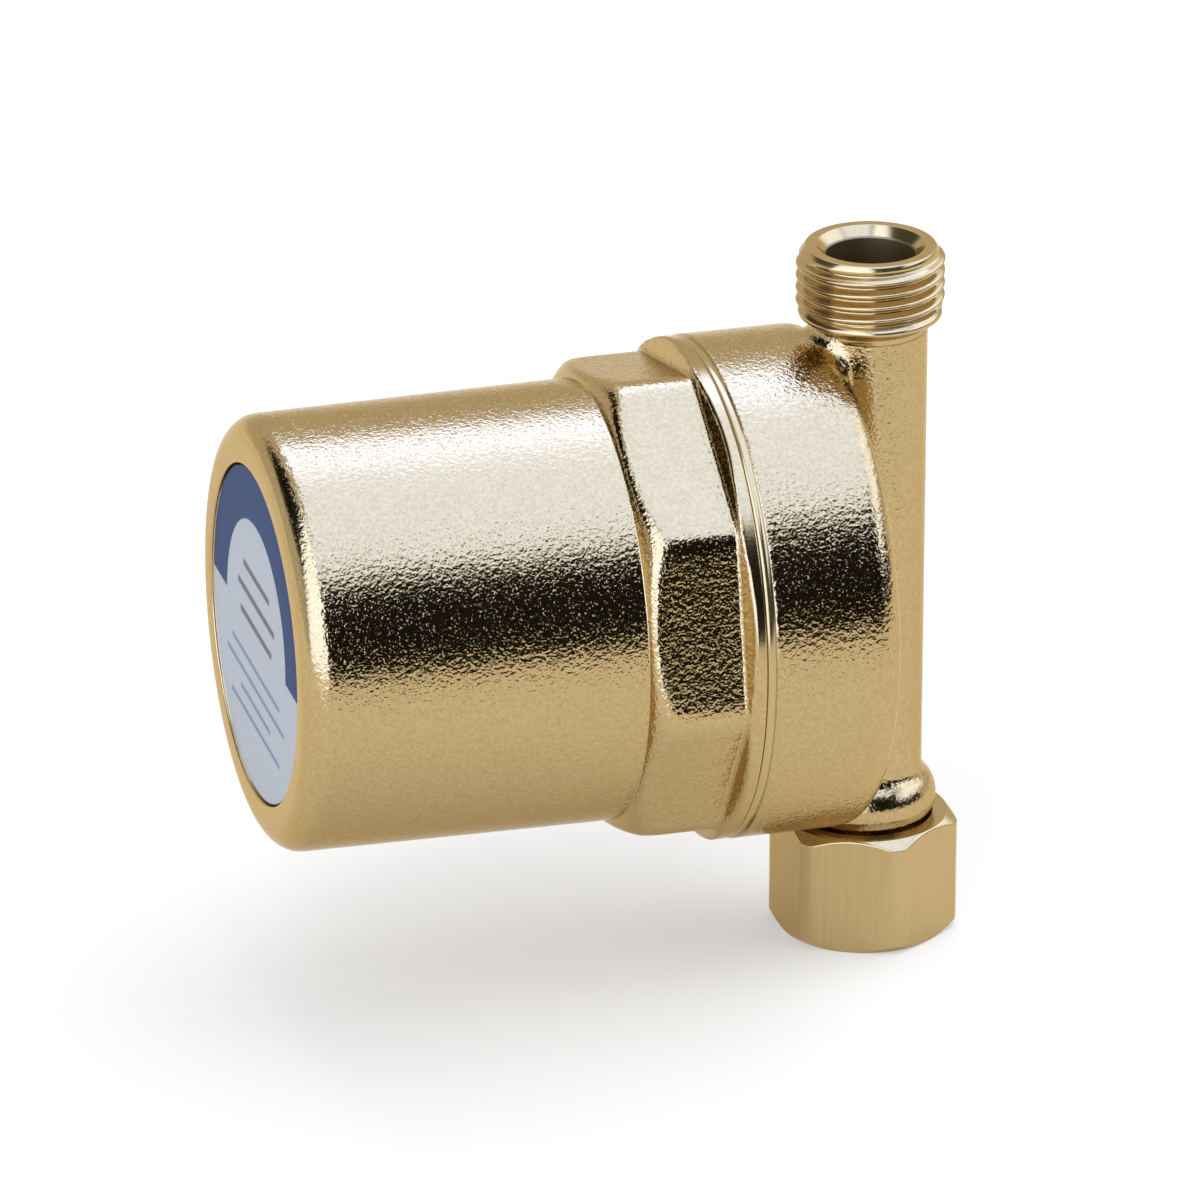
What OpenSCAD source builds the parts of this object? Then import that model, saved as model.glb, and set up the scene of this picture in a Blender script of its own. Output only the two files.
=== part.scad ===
// In-line water hammer arrestor. A spring-loaded piston runs in a brass housing
// that screws into an inlet body. The body's flow tube carries a captive swivel
// nut below and a pipe thread above. The tube stands along Z with the centre of
// the nut's mouth at the origin, and the piston axis runs along X.

/* [Pipe connection] */
// Major diameter of the parallel pipe thread at both ends
thread_d = 20.955; // [20.6:0.005:21.4]
// Pitch of the pipe thread
thread_pitch = 1.814; // [1.7:0.001:1.9]
// Height of the outlet thread
outlet_h = 10.1; // [8:0.1:13]
// Bore of the flow tube
bore_d = 12.6; // [11:0.1:13]
// Diameter of the countersink at the outlet
countersink_d = 15.3; // [14:0.1:16]
// Swivel nut across its flats
nut_af = 24; // [23.6:0.1:27]
// Height of the swivel nut
nut_h = 17.3; // [16.6:0.1:20]
// Angle of the swivel nut's corners about the tube
nut_turn = 35.2; // [0:0.1:60]

/* [Inlet body] */
// Outside diameter of the flow tube
tube_d = 16.3; // [15.2:0.1:17]
// Diameter of the rounded bead above the nut
bead_d = 20.5; // [19.4:0.1:21.5]
// Outside diameter of the drum
drum_d = 71.4; // [70:0.2:76]
// Width of the drum from its back to its mouth
drum_w = 20; // [17:0.2:22]
// Distance from the tube axis to the drum's back
drum_setback = 5.2; // [4:0.1:6]
// Rounding of the drum's back edge
drum_round = 3.8; // [1:0.1:5]
// Height of the neck between the drum and the outlet thread
neck_h = 3.2; // [2:0.1:8]
// Diameter of the port from the tube to the piston chamber
port_d = 10; // [6:0.2:12]

/* [Spring housing] */
// Length of the housing in front of the joint
housing_l = 64.2; // [62:0.1:74]
// Diameter of the barrel at its shoulder
barrel_d = 62.4; // [61:0.1:63.6]
// Draft of the barrel, as lost radius at its front
barrel_draft = 0.5; // [0:0.05:0.8]
// Rounding of the barrel's front edge
front_round = 3.8; // [1:0.1:4.6]
// Spanner octagon across its flats
oct_af = 64.6; // [64.2:0.1:65.6]
// Width of the octagon from the collar to its shoulder
oct_w = 9.7; // [8:0.1:15]
// Turn of the octagon about the piston axis
oct_turn = 11.5; // [0:0.5:45]
// Width of the sloped run-out at the end of each flat
runout_w = 0.9; // [0.4:0.1:4]
// Width of the rounded shoulder in front of the octagon
shoulder_w = 4.4; // [1:0.1:8]
// Width of the round collar beside the joint
collar_w = 1.7; // [1.5:0.1:4]
// Wall of the spigot, from the piston's bore to the thread that joins housing and drum
spigot_wall = 4; // [3.7:0.1:4.5]
// Diameter of the label
label_d = 47.6; // [40:0.2:49]
// Thickness of the label
label_t = 0.5; // [0.3:0.05:0.8]

/* [Piston and spring] */
// Bore that the piston runs in
cylinder_d = 52; // [51:0.1:52.6]
// Length of the piston
piston_l = 18; // [17.4:0.1:20]
// Travel of the piston
travel = 20; // [12:0.5:21]
// Diameter of the spring wire
wire_d = 6; // [5:0.1:6.2]
// Mean diameter of the spring
coil_d = 33; // [31:0.1:33.6]
// Turns of the spring with its two closed end turns
coils = 7; // [5:0.5:7]

/* [Fits] */
// Radial play of the piston and of the nut
running_gap = 0.06; // [0.03:0.01:0.09]
// Radial play in the screwed joint
thread_gap = 0.1; // [0.05:0.05:0.2]
// Free space left at the end of a motion
end_gap = 0.3; // [0.2:0.05:0.5]

/* [Hidden] */
$fn = 96;

brass = [0.80, 0.68, 0.45];
bright_brass = [0.84, 0.73, 0.50];
spring_steel = [0.55, 0.56, 0.58];
seal_black = [0.12, 0.12, 0.13];
polymer_white = [0.88, 0.87, 0.82];
gasket_red = [0.62, 0.25, 0.18];
label_white = [0.86, 0.87, 0.90];

// Pipe thread: depth is 0.6403 pitches on a parallel pipe thread
thread_r = thread_d / 2;
thread_depth = 0.6403 * thread_pitch;
minor_r = thread_r - thread_depth;
bore_r = bore_d / 2;
tube_r = tube_d / 2;
// Small chamfers, and the length by which a cut runs past the face that it opens
edge = 0.5;
past = 1;

// Heights along the tube, from the nut's mouth upward
nut_top_gap = 1.3;
drum_r = drum_d / 2;
axis_z = nut_h + nut_top_gap + drum_r;
outlet_z = axis_z + drum_r + neck_h;
top_z = outlet_z + outlet_h;
countersink_r = countersink_d / 2;
countersink_slope = 1.1;
countersink_h = (countersink_r - bore_r) * countersink_slope;
outlet_foot_h = 1.6;

// Captive end of the tube inside the nut, held by a wire ring and sealed by a gasket
journal_gap = 0.04;
journal_h = 4.8;
journal_r = minor_r - journal_gap;
tail_z = nut_h - journal_h;
wire_ring_r = 0.7;
wire_ring_drop = 2.1;
wire_ring_z = nut_h - wire_ring_drop;
wire_play = 0.04;
wire_groove_h = 2 * wire_ring_r + wire_play;
wire_groove_depth = 2 * wire_ring_r + 2 * wire_play;
nut_groove_gap = 0.15;
gasket_t = 2;
gasket_gap = 0.1;
gasket_z = tail_z - gasket_gap - gasket_t;
gasket_play = 0.6;
relief_r = thread_r;
gasket_r = relief_r - gasket_play;
nut_bore_r = journal_r + running_gap;
nut_corner_w = 1.4;
nut_corner_r = nut_af / 2 + nut_corner_w;
nut_top_inset = 0.1;
nut_top_r = nut_af / 2 - nut_top_inset;
nut_chamfer_h = 1.2;
nut_mouth_h = 0.5;
nut_mouth_r = minor_r + nut_mouth_h;

// Bead: an arc that starts just inside the tube's wall and ends on the journal
bead_r = bead_d / 2;
bead_arc_r = 4.7;
bead_centre_r = bead_r - bead_arc_r;
bead_rise = 2.9;
bead_z = nut_h + bead_rise;
bead_step = 0.02;
bead_top_angle = acos((tube_r - bead_step - bead_centre_r) / bead_arc_r);
bead_end_angle = acos((journal_r - bead_centre_r) / bead_arc_r);

// Distances along the piston axis, from the tube axis toward the label
joint_x = drum_setback + drum_w;
drum_floor_t = 5.5;
floor_x = drum_setback + drum_floor_t;
stop_h = 1.6;
stop_r = 15;
stop_w = 3;
mouth_bevel_w = 1.2;
mouth_bevel_h = 0.5;
front_x = joint_x + housing_l;

// Housing: its threaded spigot grows with the piston's bore, and the drum's cavity with the spigot
cylinder_r = cylinder_d / 2;
spigot_r = cylinder_r + spigot_wall;
cavity_r = spigot_r + thread_gap;
collar_step = 0.1;
collar_r = drum_r - collar_step;
barrel_r = barrel_d / 2;
front_r = barrel_r - barrel_draft;
flat_r = oct_af / 2;
flat_end_x = joint_x + collar_w + runout_w;
oct_front_x = joint_x + collar_w + oct_w;
shoulder_x = oct_front_x + shoulder_w;
runout_slope = runout_w / (collar_r - flat_r);
spigot_clear = 2;
spigot_x = floor_x + spigot_clear;
seal_groove_w = 2.8;
seal_groove_depth = 2;
seal_play = 0.03;
seal_r = seal_groove_depth / 2 - seal_play;
seal_groove_r = cavity_r - seal_groove_depth;
label_gap = 0.3;
label_drop = 0.4;
recess_r = label_d / 2 + label_gap;
recess_h = label_t + label_drop;
end_wall = 4.4;
end_x = front_x - recess_h - end_wall;
end_round = 3;
lead_in = 0.8;

// Piston
piston_r = cylinder_r - running_gap;
piston_x = floor_x + stop_h + end_gap;
piston_end_x = piston_x + piston_l;
crown_t = 5.5;
seat_x = piston_x + crown_t;
ring_groove_w = 3.4;
ring_groove_depth = 2.5;
ring_inset = 4.8;
ring_groove_r = cylinder_r - ring_groove_depth;
ring_r = ring_groove_depth / 2 - seal_play;
ring_mean_r = cylinder_r - ring_groove_depth / 2;
front_ring_x = piston_x + ring_inset;
rear_ring_x = piston_end_x - ring_inset;
stop_x = piston_end_x + travel + end_gap;
stop_ledge = 1.5;
spring_room_r = cylinder_r - stop_ledge;

// Spring, with play around it in the piston's cup and on the pilots
wire_r = wire_d / 2;
coil_r = coil_d / 2;
spring_l = end_x - seat_x - end_gap;
spring_play = 0.5;
cup_r = coil_r + wire_r + spring_play;
pilot_r = coil_r - wire_r - spring_play;
pilot_h = 2.5;
end_pitch = wire_d * 1.02;
ground = wire_d / 4;
wire_sides = 10;
steps_per_turn = 22;

// Points along an arc from angle a to angle b
function arc(centre, r, a, b, n = 8) =
    [for (i = [0 : n]) centre + r * [cos(a + (b - a) * i / n), sin(a + (b - a) * i / n)]];

// Height of the wire's centre after t turns: one close turn at each end, open turns between
function wire_height(t) =
    t < 1 ? ground + end_pitch * t :
    t > coils - 1 ? spring_l - ground - end_pitch * (coils - t) :
    ground + end_pitch
        + (spring_l - 2 * (ground + end_pitch)) * (t - 1) / (coils - 2);

// Point s of the wire's section after t turns, ground flat at both ends of the spring
function wire_point(t, s) =
    let (a = 360 * s / wire_sides, r = coil_r + wire_r * cos(a), z = wire_height(t) + wire_r * sin(a))
    [r * cos(360 * t), r * sin(360 * t), max(0, min(spring_l, z))];

// Quarter round that falls from the octagon's corners to the barrel
function shoulder(n = 8) =
    [for (i = [0 : n]) let (a = 90 * i / n)
        [barrel_r + (collar_r - barrel_r) * sin(a), oct_front_x + shoulder_w * cos(a)]];

// Frame of the piston axis: local Z runs from the tube axis toward the label
module along_piston() {
    translate([0, 0, axis_z])
        rotate([0, -90, 0])
            children();
}

// Solid of revolution about the piston axis from points [radius, distance]
module turned(points) {
    along_piston()
        rotate_extrude()
            polygon(points);
}

// Ring of round section about the piston axis
module seal_ring(mean_r, section_r, x) {
    along_piston()
        translate([0, 0, x])
            rotate_extrude()
                translate([mean_r, 0])
                    circle(section_r, $fn = 48);
}

// Forged drum with a rounded back edge and a bevelled mouth
module drum_shell() {
    turned(concat(
        [[0, drum_setback]],
        arc([drum_r - drum_round, drum_setback + drum_round], drum_round, -90, 0),
        [
            [drum_r, joint_x - mouth_bevel_w],
            [drum_r - mouth_bevel_h, joint_x],
            [0, joint_x],
        ]));
}

// Flow tube with its journal, bead and threaded outlet
module flow_tube() {
    rotate_extrude()
        polygon(concat(
            [[0, tail_z], [journal_r - edge, tail_z], [journal_r, tail_z + edge]],
            arc([bead_centre_r, bead_z], bead_arc_r, -bead_end_angle, bead_top_angle, 12),
            [
                [tube_r, bead_z + bead_arc_r],
                [tube_r, outlet_z - outlet_foot_h],
                [thread_r, outlet_z + thread_depth],
                [thread_r, top_z - thread_depth],
                [minor_r, top_z],
                [0, top_z],
            ]));
}

// Gusset from the top of the drum to the outlet's conical foot
module outlet_gusset() {
    drum_top = axis_z + drum_r;
    gusset_w = tube_d * 0.55;
    rotate([90, 0, 0])
        linear_extrude(gusset_w, center = true)
            polygon([
                [-bore_r - past, drum_top - drum_round - past],
                [-drum_setback - 1.4 * drum_round, drum_top - drum_round],
                [-drum_setback - 1.1 * drum_round, drum_top - edge],
                [-tube_r - edge, outlet_z],
                [-bore_r - past, outlet_z],
            ]);
}

// Four lands on the drum's floor that the piston comes to rest against
module stop_lands() {
    slot_w = 4;
    difference() {
        turned([
            [stop_r - stop_w, floor_x - past],
            [stop_r, floor_x - past],
            [stop_r, floor_x + stop_h],
            [stop_r - stop_w, floor_x + stop_h],
        ]);
        along_piston()
            for (a = [0, 90])
                rotate([0, 0, a + 45])
                    translate([-stop_r - past, -slot_w / 2, floor_x])
                        cube([2 * (stop_r + past), slot_w, stop_h + past]);
    }
}

module inlet_body() {
    color(brass)
        difference() {
            union() {
                drum_shell();
                flow_tube();
                outlet_gusset();
            }
            difference() {
                turned([[0, floor_x], [cavity_r, floor_x], [cavity_r, joint_x + past], [0, joint_x + past]]);
                stop_lands();
            }
            along_piston()
                cylinder(d = port_d, h = floor_x + past);
            translate([0, 0, tail_z - past])
                cylinder(d = bore_d, h = top_z - tail_z + 2 * past);
            translate([0, 0, top_z - countersink_h])
                cylinder(r1 = bore_r, r2 = countersink_r, h = countersink_h);
            translate([0, 0, wire_ring_z - wire_groove_h / 2])
                difference() {
                    cylinder(r = journal_r + past, h = wire_groove_h);
                    translate([0, 0, -past])
                        cylinder(r = journal_r - wire_groove_depth, h = wire_groove_h + 2 * past);
                }
        }
}

// Cuts one flat of the octagon, with a sloped run-out that rises to the collar
module octagon_flat() {
    over = 2;
    rotate([90, 0, 0])
        linear_extrude(2 * collar_r, center = true)
            polygon([
                [flat_r, flat_end_x],
                [collar_r + over, flat_end_x - runout_slope * (collar_r + over - flat_r)],
                [collar_r + over, shoulder_x + over],
                [flat_r, shoulder_x + over],
            ]);
}

module spring_housing() {
    color(brass)
        difference() {
            turned(concat(
                [[0, front_x - recess_h], [recess_r, front_x - recess_h], [recess_r, front_x]],
                arc([front_r - front_round, front_x - front_round], front_round, 90, 0),
                shoulder(),
                [
                    [collar_r, joint_x + edge],
                    [collar_r - edge, joint_x],
                    [seal_groove_r, joint_x],
                    [seal_groove_r, joint_x - seal_groove_w],
                    [spigot_r, joint_x - seal_groove_w],
                    [spigot_r, spigot_x + lead_in],
                    [spigot_r - lead_in, spigot_x],
                    [cylinder_r + lead_in, spigot_x],
                    [cylinder_r, spigot_x + lead_in],
                    [cylinder_r, stop_x],
                    [spring_room_r, stop_x],
                ],
                arc([spring_room_r - end_round, end_x - end_round], end_round, 0, 90),
                [
                    [pilot_r, end_x],
                    [pilot_r, end_x - pilot_h + edge],
                    [pilot_r - edge, end_x - pilot_h],
                    [0, end_x - pilot_h],
                ]));
            along_piston()
                for (side = [0 : 7])
                    rotate([0, 0, oct_turn + 45 * side])
                        octagon_flat();
        }
}

module label_disc() {
    color(label_white)
        along_piston()
            translate([0, 0, front_x - recess_h])
                cylinder(d = label_d, h = label_t);
}

module housing_seal() {
    color(seal_black)
        seal_ring((cavity_r + seal_groove_r) / 2, seal_r, joint_x - seal_groove_w / 2);
}

// Cup with two ring grooves outside and a spring seat with a centring pilot inside
module piston() {
    crown_edge = 2;
    color(polymer_white)
        turned([
            [0, piston_x],
            [piston_r - crown_edge, piston_x],
            [piston_r, piston_x + crown_edge],
            [piston_r, front_ring_x - ring_groove_w / 2],
            [ring_groove_r, front_ring_x - ring_groove_w / 2],
            [ring_groove_r, front_ring_x + ring_groove_w / 2],
            [piston_r, front_ring_x + ring_groove_w / 2],
            [piston_r, rear_ring_x - ring_groove_w / 2],
            [ring_groove_r, rear_ring_x - ring_groove_w / 2],
            [ring_groove_r, rear_ring_x + ring_groove_w / 2],
            [piston_r, rear_ring_x + ring_groove_w / 2],
            [piston_r, piston_end_x - edge],
            [piston_r - edge, piston_end_x],
            [cup_r + edge, piston_end_x],
            [cup_r, piston_end_x - edge],
            [cup_r, seat_x],
            [pilot_r, seat_x],
            [pilot_r, seat_x + pilot_h - edge],
            [pilot_r - edge, seat_x + pilot_h],
            [0, seat_x + pilot_h],
        ]);
}

module front_piston_ring() {
    color(seal_black)
        seal_ring(ring_mean_r, ring_r, front_ring_x);
}

module rear_piston_ring() {
    color(seal_black)
        seal_ring(ring_mean_r, ring_r, rear_ring_x);
}

// Round wire swept along a helix whose pitch closes up at both ends
module damping_spring() {
    steps = round(coils * steps_per_turn);
    points = [for (i = [0 : steps], s = [0 : wire_sides - 1]) wire_point(i / steps_per_turn, s)];
    skin = [for (i = [0 : steps - 1], s = [0 : wire_sides - 1])
        let (a = i * wire_sides + s, b = i * wire_sides + (s + 1) % wire_sides)
        each [[a, a + wire_sides, b], [b, a + wire_sides, b + wire_sides]]];
    first_end = [for (s = [0 : wire_sides - 1]) s];
    last_end = [for (s = [wire_sides - 1 : -1 : 0]) steps * wire_sides + s];
    color(spring_steel)
        along_piston()
            translate([0, 0, seat_x + end_gap])
                polyhedron(points, concat(skin, [first_end, last_end]));
}

// Hexagon with turned ends, a female thread below and a plain bore that swivels on the tube
module swivel_nut() {
    color(bright_brass)
        difference() {
            intersection() {
                rotate([0, 0, nut_turn])
                    cylinder(d = nut_af / cos(30), h = nut_h, $fn = 6);
                rotate_extrude()
                    polygon([
                        [0, 0],
                        [nut_top_r, 0],
                        [nut_corner_r, nut_chamfer_h],
                        [nut_corner_r, nut_h - nut_chamfer_h],
                        [nut_top_r, nut_h],
                        [0, nut_h],
                    ]);
            }
            rotate_extrude()
                polygon([
                    [0, -past],
                    [nut_mouth_r, -past],
                    [nut_mouth_r, 0],
                    [minor_r, nut_mouth_h],
                    [minor_r, gasket_z],
                    [relief_r, gasket_z],
                    [relief_r, tail_z + edge],
                    [nut_bore_r, tail_z + edge],
                    [nut_bore_r, nut_h - edge],
                    [nut_bore_r + edge, nut_h],
                    [nut_bore_r + edge, nut_h + past],
                    [0, nut_h + past],
                ]);
            translate([0, 0, wire_ring_z])
                rotate_extrude()
                    translate([journal_r, 0])
                        circle(wire_ring_r + nut_groove_gap, $fn = 48);
        }
}

// Split ring of round wire, half in the tube's groove and half in the nut's
module nut_retaining_wire() {
    split = 30;
    color(spring_steel)
        translate([0, 0, wire_ring_z])
            rotate([0, 0, 90 + split / 2])
                rotate_extrude(angle = 360 - split)
                    translate([journal_r, 0])
                        circle(wire_ring_r, $fn = 48);
}

module inlet_gasket() {
    color(gasket_red)
        translate([0, 0, gasket_z])
            difference() {
                cylinder(r = gasket_r, h = gasket_t);
                translate([0, 0, -past])
                    cylinder(r = bore_r + gasket_gap, h = gasket_t + 2 * past);
            }
}

inlet_body();
spring_housing();
label_disc();
housing_seal();
piston();
front_piston_ring();
rear_piston_ring();
damping_spring();
swivel_nut();
nut_retaining_wire();
inlet_gasket();
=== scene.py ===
import math

import bmesh
import bpy
import numpy as np
from mathutils import Matrix, Vector


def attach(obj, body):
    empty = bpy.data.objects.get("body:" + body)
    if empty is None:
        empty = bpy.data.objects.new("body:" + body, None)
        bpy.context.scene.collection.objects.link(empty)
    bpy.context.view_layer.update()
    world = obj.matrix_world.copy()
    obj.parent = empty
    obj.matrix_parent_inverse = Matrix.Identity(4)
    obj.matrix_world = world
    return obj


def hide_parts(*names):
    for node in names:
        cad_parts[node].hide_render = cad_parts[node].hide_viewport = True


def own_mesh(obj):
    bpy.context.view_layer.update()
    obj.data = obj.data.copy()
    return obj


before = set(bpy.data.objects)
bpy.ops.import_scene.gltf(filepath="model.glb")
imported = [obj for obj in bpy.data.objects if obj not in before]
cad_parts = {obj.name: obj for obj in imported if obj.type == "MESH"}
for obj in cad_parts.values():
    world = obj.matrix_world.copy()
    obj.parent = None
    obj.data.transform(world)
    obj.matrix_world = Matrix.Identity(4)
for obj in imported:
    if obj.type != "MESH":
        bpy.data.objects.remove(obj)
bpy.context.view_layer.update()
scene = bpy.context.scene
mm = 0.001  # sizes below are in millimetres, meshes in metres
axisZ = 54.3  # height of the piston axis
print("frame loaded, nodes:", len(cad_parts))


class Wire:  # a socket that can stand in a sum
    def __init__(self, maker, socket):
        self.maker = maker
        self.socket = socket

    def math(self, operation, *others):
        return self.maker.add("ShaderNodeMath", {"operation": operation}, dict(enumerate((self, *others))))

    def mathAfter(self, operation, first):
        return self.maker.add("ShaderNodeMath", {"operation": operation}, {0: first, 1: self})

    def __add__(self, other):
        return self.math("ADD", other)

    def __sub__(self, other):
        return self.math("SUBTRACT", other)

    def __mul__(self, other):
        return self.math("MULTIPLY", other)

    def __truediv__(self, other):
        return self.math("DIVIDE", other)

    def __rsub__(self, other):
        return self.mathAfter("SUBTRACT", other)

    def __rtruediv__(self, other):
        return self.mathAfter("DIVIDE", other)

    def __neg__(self):
        return self * -1

    __radd__ = __add__
    __rmul__ = __mul__

    def least(self, other, soft=0):
        return self.math("SMOOTH_MIN", other, soft)

    def most(self, other, soft=0):
        return self.math("SMOOTH_MAX", other, soft)

    def between(self, low, high):  # 0 below low, 1 above high, soft in between
        settings = {"interpolation_type": "SMOOTHSTEP"}
        return self.maker.add("ShaderNodeMapRange", settings, {"Value": self, "From Min": low, "From Max": high})


class NodeMaker:  # adds nodes to one tree, for geometry and for shaders
    def __init__(self, tree):
        self.tree = tree

    def add(self, kind, settings=None, sockets=None, out=0):
        node = self.tree.nodes.new(kind)
        for key, value in (settings or {}).items():
            setattr(node, key, value)
        for key, value in (sockets or {}).items():
            socket = self.pick(node.inputs, key)
            if isinstance(value, Wire):
                self.tree.links.new(value.socket, socket)
            else:
                socket.default_value = value
        return node if out is None else Wire(self, self.pick(node.outputs, out))

    def pick(self, sockets, key):
        if isinstance(key, int):
            return sockets[key]
        return next(s for s in sockets if s.name == key and s.enabled)

    def split(self, vector):
        node = self.add("ShaderNodeSeparateXYZ", {}, {0: vector}, None)
        return [Wire(self, s) for s in node.outputs]

    def join(self, x, y, z):
        return self.add("ShaderNodeCombineXYZ", {}, {0: x, 1: y, 2: z})

    def mix(self, factor, first, second):
        return self.add("ShaderNodeMix", {"data_type": "RGBA"}, {"Factor": factor, "A": first, "B": second}, "Result")

    def noise(self, place, scale, detail=2.0, roughness=0.5, distortion=0.0):
        values = {"Vector": place, "Scale": scale, "Detail": detail, "Roughness": roughness, "Distortion": distortion}
        return self.add("ShaderNodeTexNoise", {}, values)


# camera first, at the photograph's angle
cameraView = {"azimuth": -16.29, "elevation": 22.8, "roll": 0.23, "distance": 1.544, "target": (-35, 0, 51),
              "pixelsPerMm": 7.115, "centre": (628.5, 615.8), "frame": 1200, "sensor": 36}


def makeCamera(view):
    a, e = math.radians(view["azimuth"]), math.radians(view["elevation"])
    back = Vector((math.sin(a) * math.cos(e), -math.cos(a) * math.cos(e), math.sin(e)))
    right = Vector((math.cos(a), math.sin(a), 0))
    up = back.cross(right)
    turn = Matrix((right, up, back)).transposed() @ Matrix.Rotation(math.radians(view["roll"]), 3, "Z")
    lens = bpy.data.cameras.new("camera")
    lens.sensor_fit = "HORIZONTAL"
    lens.sensor_width = view["sensor"]
    lens.lens = view["pixelsPerMm"] * view["distance"] * 1000 / view["frame"] * view["sensor"]
    lens.shift_x = (view["frame"] / 2 - view["centre"][0]) / view["frame"]
    lens.shift_y = (view["centre"][1] - view["frame"] / 2) / view["frame"]
    lens.clip_start = 0.01
    camera = bpy.data.objects.new("camera", lens)
    place = Vector(view["target"]) * mm + back * view["distance"]
    camera.matrix_world = Matrix.Translation(place) @ turn.to_4x4()
    scene.collection.objects.link(camera)
    scene.camera = camera


makeCamera(cameraView)
print("camera set")


# finishes
def newFinish(name):
    material = bpy.data.materials.new(name)
    material.use_nodes = True
    material.node_tree.nodes.clear()
    maker = NodeMaker(material.node_tree)
    place = maker.add("ShaderNodeTexCoord", out="Object")
    return material, maker, place


def closeFinish(maker, sockets, height, depth):
    sockets["Normal"] = maker.add("ShaderNodeBump", {}, {"Height": height, "Distance": depth, "Strength": 1.0})
    shader = maker.add("ShaderNodeBsdfPrincipled", {}, sockets)
    maker.add("ShaderNodeOutputMaterial", {}, {"Surface": shader}, None)


edgeTint = (0.86, 0.74, 0.55, 1)  # reflection at a glancing angle
forgedLook = {"bright": (0.515, 0.378, 0.181), "deep": (0.45, 0.322, 0.146), "roughness": 0.12, "toneRoughness": 0.06,
              "calmRoughness": 0.05, "peel": 1500, "peelShare": 0.54, "grains": 3000, "grainShare": 0.13, "wave": 130,
              "waveShare": 0.2, "tone": 1900, "calming": 0.92, "depth": 0.00018}
# the bore's dark colour and its share are painted shade for the inside of the tube
turnedLook = {"bright": (0.51, 0.375, 0.18), "deep": (0.48, 0.35, 0.163), "metallic": 0.93, "roughness": 0.16,
              "lineRoughness": 0.12, "cloudRoughness": 0.06, "boreRoughness": 0.25, "lines": 5200, "cloud": 2400,
              "streak": 0.04, "bore": (6.4, 6.6), "boreShade": (0.16, 0.13, 0.075), "boreShadeShare": 0.7, "depth": 0.000006}
machined = {"beadRadius": (11.2, 12.2), "beadTop": (23.2, 24.5), "beadShare": 0.6, "front": (87.2, 88.8),
            "collar": (-27.4, -26.8)}  # where a forging was smoothed afterwards


def softStep(wire, reach):  # 0 to 1 over a reach in millimetres
    return wire.between(reach[0] * mm, reach[1] * mm)


def forgedBrass(name, look, calm):
    material, maker, place = newFinish(name)
    x, y, z = maker.split(place)
    peel = maker.noise(place, look["peel"], 1.5, 0.5, 0.2)
    grains = maker.noise(place, look["grains"], 1.0).between(0.52, 0.85)
    wave = maker.noise(place, look["wave"], 1.0)
    quiet = calm(x, y, z)  # 1 where the surface was machined after forging
    rough = 1 - quiet * look["calming"]
    height = (peel * look["peelShare"] + grains * look["grainShare"]) * rough + wave * look["waveShare"]
    tone = maker.noise(place, look["tone"], 3.0)
    colour = maker.mix(tone.between(0.3, 0.7), look["deep"] + (1,), look["bright"] + (1,))
    roughness = look["roughness"] + (tone - 0.5) * look["toneRoughness"] + quiet * look["calmRoughness"]
    closeFinish(maker, {"Base Color": colour, "Metallic": 1.0, "Roughness": roughness, "Specular Tint": edgeTint},
                height, look["depth"])
    return material


def turnedBrass(name, look, alongX=False, drawn=False):
    material, maker, place = newFinish(name)
    x, y, z = maker.split(place)
    if alongX:
        radius = (y * y + (z - axisZ * mm) * (z - axisZ * mm)).math("SQRT")
        height = x
    else:
        radius = (x * x + y * y).math("SQRT")
        height = z
    lines = maker.noise(maker.join(radius * look["lines"], height * look["lines"], 0), 1.0, 2.0, 0.7)
    if drawn:  # streaks run up the flats of a drawn bar
        place = maker.join(x, y, z * look["streak"])
    cloud = maker.noise(place, look["cloud"], 2.0)
    insideBore = 1 - softStep(radius, look["bore"])  # 1 inside the bore: rougher there, and its colour darkened as painted shade
    colour = maker.mix(cloud.between(0.3, 0.7), look["deep"] + (1,), look["bright"] + (1,))
    # painted shade: the bore's wall is mixed toward a dark olive brown, standing in for the shade inside the tube
    colour = maker.mix(insideBore * look["boreShadeShare"], colour, look["boreShade"] + (1,))
    worn = (lines - 0.5) * look["lineRoughness"] + (cloud - 0.5) * look["cloudRoughness"]
    roughness = look["roughness"] + worn + insideBore * look["boreRoughness"]
    closeFinish(maker, {"Base Color": colour, "Metallic": look["metallic"], "Roughness": roughness,
                        "Specular Tint": edgeTint}, cloud if drawn else lines, look["depth"])
    return material


def bodyCalm(x, y, z):  # bead above the nut
    near = 1 - softStep((x * x + y * y).math("SQRT"), machined["beadRadius"])
    return near * (1 - softStep(z, machined["beadTop"])) * machined["beadShare"]


def housingCalm(x, y, z):  # closed front, and the collar beside the joint
    return softStep(-x, machined["front"]).most(softStep(x, machined["collar"]))


forgedBody = forgedBrass("forgedBody", forgedLook, bodyCalm)
forgedHousing = forgedBrass("forgedHousing", forgedLook, housingCalm)
turnedUpright = turnedBrass("turnedUpright", turnedLook)
turnedMouth = turnedBrass("turnedMouth", turnedLook, alongX=True)
drawnNut = turnedBrass("drawnNut", turnedLook, drawn=True)

labelLook = {"radius": 23.8, "back": 88.5, "face": 89.0, "rounding": 0.12, "segments": 160, "inner": 0.683,
             "turn": -3.0, "film": (0.36, 0.39, 0.435), "filmGrain": (0.40, 0.43, 0.475),
             "ink": (0.014, 0.038, 0.115), "dark": (0.045, 0.05, 0.065), "pale": (0.105, 0.16, 0.31), "edge": 0.006,
             "cover": 0.8, "grain": 3000, "roughness": 0.5, "specular": 0.12, "depth": 0.000004}
labelBars = {  # height, half length and half thickness, as shares of the radius
    "dark": [(0.34, 0.30, 0.022), (0.18, 0.42, 0.022), (0.02, 0.36, 0.022)],
    "pale": [(-0.24, 0.55, 0.016), (-0.36, 0.66, 0.016), (-0.48, 0.34, 0.016), (-0.60, 0.56, 0.016)]}


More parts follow.
